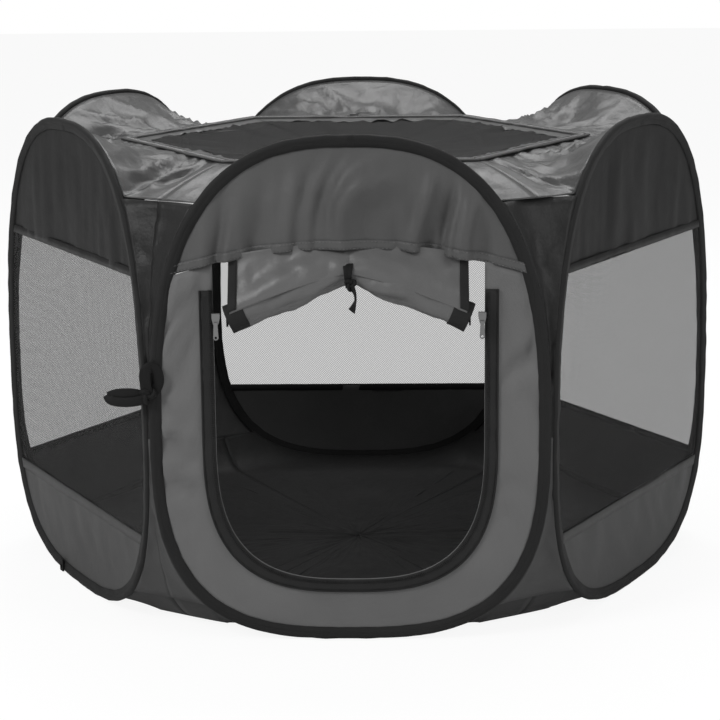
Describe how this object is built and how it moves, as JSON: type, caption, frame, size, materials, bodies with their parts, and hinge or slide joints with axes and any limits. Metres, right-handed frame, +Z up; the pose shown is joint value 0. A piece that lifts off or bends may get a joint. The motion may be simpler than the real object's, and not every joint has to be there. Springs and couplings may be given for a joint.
{
  "type": "pet playpen",
  "caption": "Hexagonal pop-up pet playpen with sprung hoop walls, mesh windows, a rolled-up zip doorway and a zipped mesh lid",
  "frame": {"origin": "middle of the floor sheet's underside, on the ground", "axes": "+Z up, the doorway faces -Y, +X to the right seen from the front"},
  "size_m": [0.941, 0.8498, 0.6],
  "materials": {
    "spring_wire": "satin spring steel",
    "binding": "woven binding tape",
    "black_cloth": "smooth polyester, slight sheen",
    "grey_cloth": "woven polyester",
    "lower_cloth": "woven polyester",
    "roof_cloth": "coated polyester, satin",
    "floor_cloth": "coated oxford cloth",
    "mesh": "open knitted mesh",
    "zip_tape": "ribbed zip tape",
    "zip_metal": "dark zinc",
    "webbing": "flat woven strap"
  },
  "bodies": {
    "front": {"front_hoop": "spring_wire", "front_sleeve": "binding", "front_header": "grey_cloth", "door_surround": "grey_cloth", "door_zip_tape": "zip_tape", "roof_border": "roof_cloth", "lid_border": "roof_cloth", "lid_mesh": "mesh", "floor_sheet": "floor_cloth", "closure_strap": "webbing"},
    "front_right": {"front_right_hoop": "spring_wire", "front_right_sleeve": "binding", "front_right_upper_wall": "black_cloth", "front_right_mesh_window": "mesh", "front_right_lower_wall": "lower_cloth", "upper_gusset_front_to_front_right": "black_cloth", "lower_gusset_front_to_front_right": "lower_cloth"},
    "back_right": {"back_right_hoop": "spring_wire", "back_right_sleeve": "binding", "back_right_upper_wall": "black_cloth", "back_right_mesh_window": "mesh", "back_right_lower_wall": "lower_cloth", "upper_gusset_front_right_to_back_right": "black_cloth", "lower_gusset_front_right_to_back_right": "lower_cloth", "stake_loop_back_right": "webbing"},
    "back": {"back_hoop": "spring_wire", "back_sleeve": "binding", "back_upper_wall": "black_cloth", "back_mesh_window": "mesh", "back_lower_wall": "lower_cloth", "upper_gusset_back_right_to_back": "black_cloth", "lower_gusset_back_right_to_back": "lower_cloth"},
    "back_left": {"back_left_hoop": "spring_wire", "back_left_sleeve": "binding", "back_left_upper_wall": "black_cloth", "back_left_mesh_window": "mesh", "back_left_lower_wall": "lower_cloth", "upper_gusset_back_to_back_left": "black_cloth", "lower_gusset_back_to_back_left": "lower_cloth"},
    "front_left": {"front_left_hoop": "spring_wire", "front_left_sleeve": "binding", "front_left_upper_wall": "black_cloth", "front_left_mesh_window": "mesh", "front_left_lower_wall": "lower_cloth", "upper_gusset_back_left_to_front_left": "black_cloth", "lower_gusset_back_left_to_front_left": "lower_cloth", "upper_gusset_front_left_to_front": "black_cloth", "lower_gusset_front_left_to_front": "lower_cloth", "stake_loop_front_left": "webbing"},
    "door_flap": {"door_roll": "grey_cloth", "door_flap_cloth": "grey_cloth", "door_tie": "webbing", "door_tie_tail": "webbing"},
    "door_left_slider": {"door_left_slider": "zip_metal"},
    "door_left_pull": {"door_left_pull": "zip_metal"},
    "door_right_slider": {"door_right_slider": "zip_metal"},
    "door_right_pull": {"door_right_pull": "zip_metal"},
    "lid_zip_end": {"lid_zip_stop": "zip_metal"},
    "lid_slider": {"lid_slider": "zip_metal"},
    "lid_pull": {"lid_pull": "zip_metal"}
  },
  "joints": [
    {"name": "fold_front_right", "type": "hinge", "parent": "front", "child": "front_right", "pos_m": [0.22692, -0.39303, 0.3], "axis": [0, 0, 1], "range_deg": [0, 120], "stiffness_Nm_per_rad": 0.3, "deforming": ["upper_gusset_front_to_front_right", "lower_gusset_front_to_front_right", "roof_border", "lid_border", "lid_mesh", "floor_sheet"]},
    {"name": "fold_back_right", "type": "hinge", "parent": "front_right", "child": "back_right", "pos_m": [0.47693, 0, 0.3], "axis": [0, 0, 1], "range_deg": [-240, 0], "deforming": ["upper_gusset_front_right_to_back_right", "lower_gusset_front_right_to_back_right"]},
    {"name": "fold_back", "type": "hinge", "parent": "back_right", "child": "back", "pos_m": [0.22692, 0.39303, 0.3], "axis": [0, 0, 1], "range_deg": [0, 120], "deforming": ["upper_gusset_back_right_to_back", "lower_gusset_back_right_to_back"]},
    {"name": "fold_back_left", "type": "hinge", "parent": "back", "child": "back_left", "pos_m": [-0.23846, 0.41303, 0.3], "axis": [0, 0, 1], "range_deg": [-240, 0], "deforming": ["upper_gusset_back_to_back_left", "lower_gusset_back_to_back_left"]},
    {"name": "fold_front_left", "type": "hinge", "parent": "back_left", "child": "front_left", "pos_m": [-0.45383, 0, 0.3], "axis": [0, 0, 1], "range_deg": [0, 120], "deforming": ["upper_gusset_back_left_to_front_left", "lower_gusset_back_left_to_front_left", "upper_gusset_front_left_to_front", "lower_gusset_front_left_to_front"]},
    {"name": "lid_zip_carry", "type": "slide", "parent": "back", "child": "lid_zip_end", "axis": [0, 1, 0], "range_m": [0, 0.129]},
    {"name": "lid_slider_slide", "type": "slide", "parent": "lid_zip_end", "child": "lid_slider", "axis": [1, 0, 0], "range_m": [0, 0.12]},
    {"name": "lid_pull_lift", "type": "hinge", "parent": "lid_slider", "child": "lid_pull", "pos_m": [-0.003, 0.265, 0.5588], "axis": [0, -1, 0], "range_deg": [0, 150]},
    {"name": "door_flap_swing", "type": "hinge", "parent": "front", "child": "door_flap", "pos_m": [0, -0.40793, 0.4755], "axis": [-1, 0, 0], "range_deg": [0, 60]},
    {"name": "door_left_slide", "type": "slide", "parent": "front", "child": "door_left_slider", "axis": [0, 0, -1], "range_m": [0, 0.15]},
    {"name": "door_left_pull_lift", "type": "hinge", "parent": "door_left_slider", "child": "door_left_pull", "pos_m": [-0.153, -0.41453, 0.386], "axis": [-1, 0, 0], "range_deg": [0, 150]},
    {"name": "door_right_slide", "type": "slide", "parent": "front", "child": "door_right_slider", "axis": [0, 0, -1], "range_m": [0, 0.15]},
    {"name": "door_right_pull_lift", "type": "hinge", "parent": "door_right_slider", "child": "door_right_pull", "pos_m": [0.153, -0.41453, 0.386], "axis": [-1, 0, 0], "range_deg": [0, 150]}
  ],
  "couplings": [
    {"joint": "fold_back_right", "follows": "fold_front_right", "ratio": -2},
    {"joint": "fold_back", "follows": "fold_front_right", "ratio": 1},
    {"joint": "fold_back_left", "follows": "fold_front_right", "ratio": -2},
    {"joint": "fold_front_left", "follows": "fold_front_right", "ratio": 1},
    {"joint": "lid_zip_carry", "follows": "fold_front_right", "m_per_rad": 0.06159}
  ]
}
